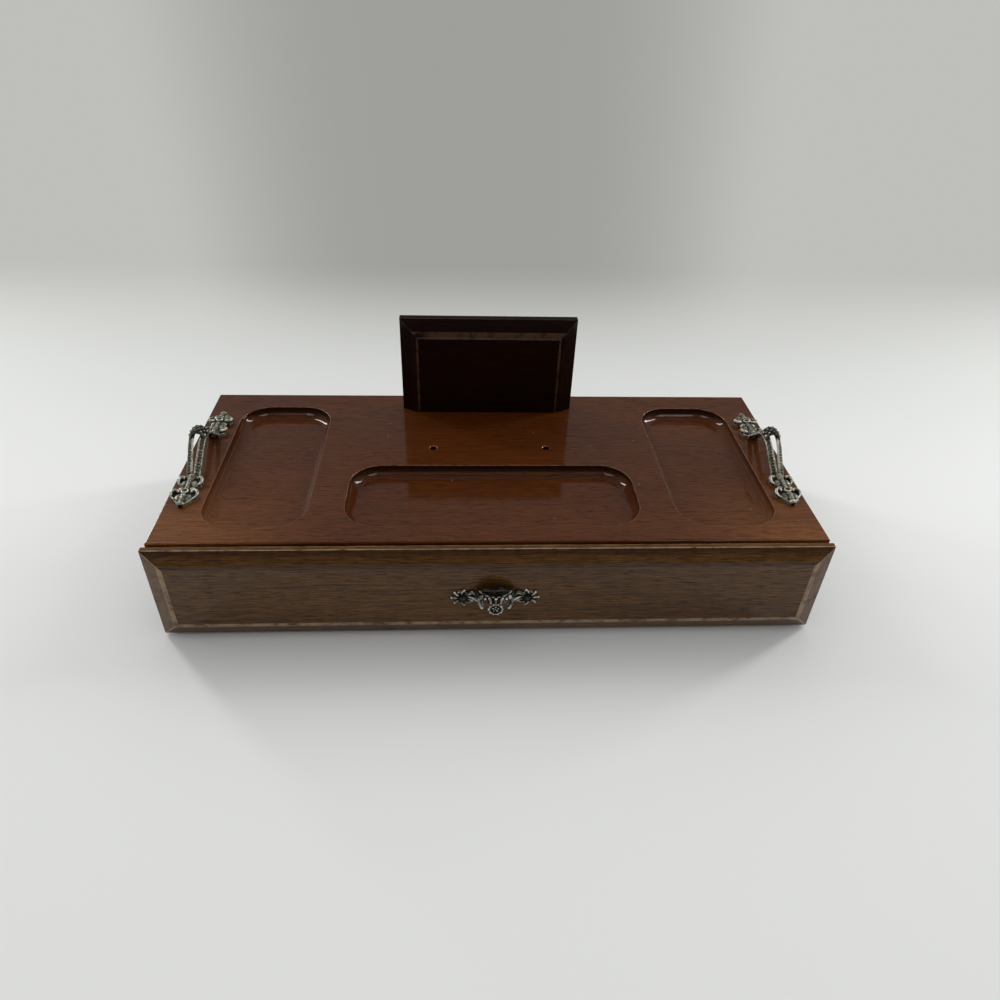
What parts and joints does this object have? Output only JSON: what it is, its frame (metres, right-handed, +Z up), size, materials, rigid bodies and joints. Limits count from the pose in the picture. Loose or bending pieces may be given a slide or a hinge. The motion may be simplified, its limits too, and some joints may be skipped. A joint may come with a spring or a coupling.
{
  "type": "valet box",
  "caption": "Shallow wooden valet box with a bevel-fronted drawer, sunk trays in its top, an upright panel at the back, cast end handles and a cast drawer pull.",
  "frame": {"origin": "middle of the felt underside, on the surface that the box rests on", "axes": "+X along the box's width, to the right as seen from the drawer's side; +Y from the drawer front to the back; +Z up"},
  "size_m": [0.333, 0.1603, 0.115],
  "materials": {
    "stained_top": "reddish-brown stained wood with fine straight grain under a glossy lacquer",
    "stained_front": "greyer brown stained wood with fine straight grain under a semi-gloss lacquer",
    "stained_case": "brown stained wood under a semi-gloss lacquer",
    "drawer_wood": "plain pale wood, sanded and unlacquered",
    "drawer_plywood": "thin plain plywood",
    "dowel_wood": "plain beech",
    "felt": "short dark brown felt",
    "cast_metal": "aged casting: dark in its hollows, rubbed bright on its edges",
    "pin_metal": "dark aged pins",
    "steel": "plain steel screws and brads"
  },
  "bodies": {
    "case": {"top_board": "stained_top", "left_side": "stained_case", "right_side": "stained_case", "back_panel": "stained_case", "base_board": "stained_case", "base_felt": "felt", "upright_panel": "stained_top", "upright_screws": "steel", "case_dowels": "dowel_wood", "base_brads": "steel", "left_handle": "cast_metal", "right_handle": "cast_metal", "left_handle_pins": "pin_metal", "right_handle_pins": "pin_metal"},
    "drawer": {"drawer_front": "stained_front", "drawer_inner_front": "drawer_wood", "drawer_left_side": "drawer_wood", "drawer_right_side": "drawer_wood", "drawer_back": "drawer_wood", "drawer_bottom": "drawer_plywood", "drawer_lining": "felt", "front_screws": "steel", "drawer_brads": "steel", "drawer_pull": "cast_metal", "pull_pins": "pin_metal"}
  },
  "joints": [
    {"name": "drawer_slide", "type": "slide", "parent": "case", "child": "drawer", "axis": [0, -1, 0], "range_m": [0, 0.11]}
  ]
}
